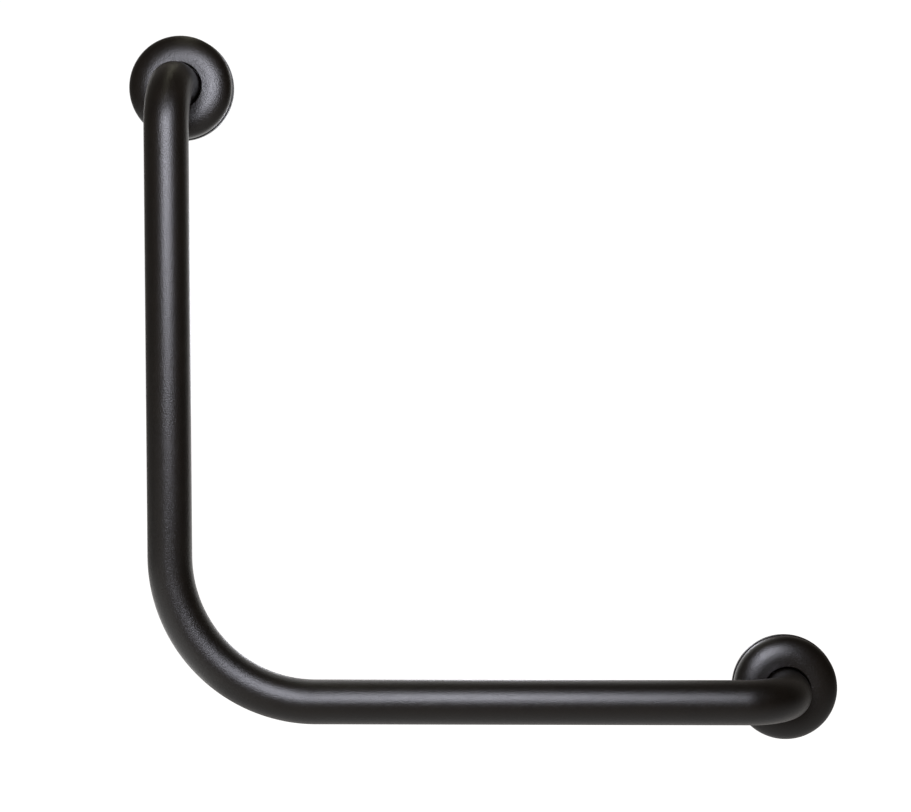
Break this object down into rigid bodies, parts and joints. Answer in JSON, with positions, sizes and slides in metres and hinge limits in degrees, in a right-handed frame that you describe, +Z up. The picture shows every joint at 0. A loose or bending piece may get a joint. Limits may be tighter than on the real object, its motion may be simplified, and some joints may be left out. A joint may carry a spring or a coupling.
{
  "type": "bed assist rail",
  "caption": "L-shaped wall-mounted assist rail bent from round tube, with a flange at each end and push-fit domed covers over concealed screws.",
  "frame": {"origin": "centre of the lower mounting plate's back face, on the wall, on the axis of the tube's end", "axes": "+Z up. +Y into the wall. The level leg runs from the origin towards -X, and the upright leg rises at its far end."},
  "size_m": [0.5278, 0.115, 0.5278],
  "materials": {
    "black_powder_coat": "satin, fine-grained",
    "zinc_plated_steel": "bright zinc plate",
    "grey_nylon": "moulded"
  },
  "bodies": {
    "rail": {"rail_tube": "black_powder_coat", "mounting_plate_lower": "black_powder_coat", "weld_bead_lower": "black_powder_coat", "mounting_plate_upper": "black_powder_coat", "weld_bead_upper": "black_powder_coat", "screw_lower_1": "zinc_plated_steel", "washer_lower_1": "zinc_plated_steel", "wall_plug_lower_1": "grey_nylon", "screw_lower_2": "zinc_plated_steel", "washer_lower_2": "zinc_plated_steel", "wall_plug_lower_2": "grey_nylon", "screw_lower_3": "zinc_plated_steel", "washer_lower_3": "zinc_plated_steel", "wall_plug_lower_3": "grey_nylon", "screw_upper_1": "zinc_plated_steel", "washer_upper_1": "zinc_plated_steel", "wall_plug_upper_1": "grey_nylon", "screw_upper_2": "zinc_plated_steel", "washer_upper_2": "zinc_plated_steel", "wall_plug_upper_2": "grey_nylon", "screw_upper_3": "zinc_plated_steel", "washer_upper_3": "zinc_plated_steel", "wall_plug_upper_3": "grey_nylon"},
    "cover_lower": {"flange_cover_lower": "black_powder_coat"},
    "cover_upper": {"flange_cover_upper": "black_powder_coat"}
  },
  "joints": [
    {"name": "cover_lower_slide", "type": "slide", "parent": "rail", "child": "cover_lower", "axis": [0, -1, 0], "range_m": [0, 0.014]},
    {"name": "cover_upper_slide", "type": "slide", "parent": "rail", "child": "cover_upper", "axis": [0, -1, 0], "range_m": [0, 0.014]}
  ]
}
